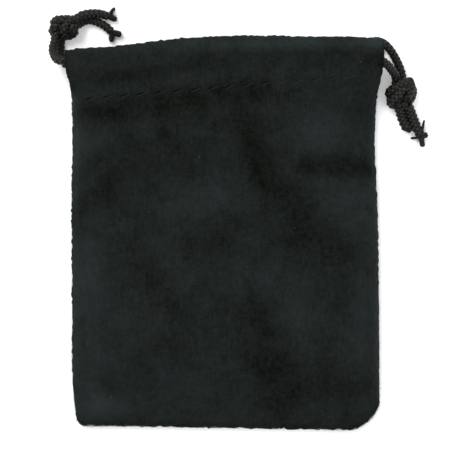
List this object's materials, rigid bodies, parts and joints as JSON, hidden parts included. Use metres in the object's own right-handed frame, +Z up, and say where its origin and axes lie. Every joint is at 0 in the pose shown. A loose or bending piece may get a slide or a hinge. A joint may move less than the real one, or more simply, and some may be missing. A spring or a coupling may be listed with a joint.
{
  "type": "drawstring dice bag",
  "caption": "Small flat velour drawstring bag for dice: sewn panels, a stitched casing round an open mouth, and two opposed cords that gather it shut, each knotted at its ends.",
  "frame": {"origin": "on the floor under the middle of the bag's own outline, its cords left out", "axes": "+Z up, out of the front of the bag, which lies on its back; +Y from the bottom seam towards the mouth; +X to the bag's right, seen from the front"},
  "size_m": [0.1218, 0.1361, 0.0157],
  "materials": {
    "velour": "matt napped pile",
    "velour_back": "matt knit",
    "thread": "slightly shiny polyester thread",
    "cord_braid": "braided nylon, low sheen"
  },
  "bodies": {
    "bag": {"front_panel": "velour", "back_panel": "velour", "front_hem": "velour_back", "back_hem": "velour_back", "front_stitching": "thread", "back_stitching": "thread", "left_side_seam": "velour_back", "right_side_seam": "velour_back", "bottom_seam": "velour_back"},
    "left_pull": {"left_cord": "cord_braid", "left_knot": "cord_braid", "left_upper_tail": "cord_braid", "left_lower_tail": "cord_braid", "right_slit_tack": "thread"},
    "right_pull": {"right_cord": "cord_braid", "right_knot": "cord_braid", "right_inner_tail": "cord_braid", "right_outer_tail": "cord_braid", "left_slit_tack": "thread"}
  },
  "joints": [
    {"name": "left_cord_pull", "type": "slide", "parent": "bag", "child": "left_pull", "axis": [-0.9994, -0.0349, 0], "range_m": [0, 0.032], "deforming": ["front_hem", "back_hem", "front_stitching", "back_stitching"]},
    {"name": "right_cord_pull", "type": "slide", "parent": "bag", "child": "right_pull", "axis": [0.9994, 0.0349, 0], "range_m": [0, 0.032], "deforming": ["front_hem", "back_hem", "front_stitching", "back_stitching"]}
  ]
}
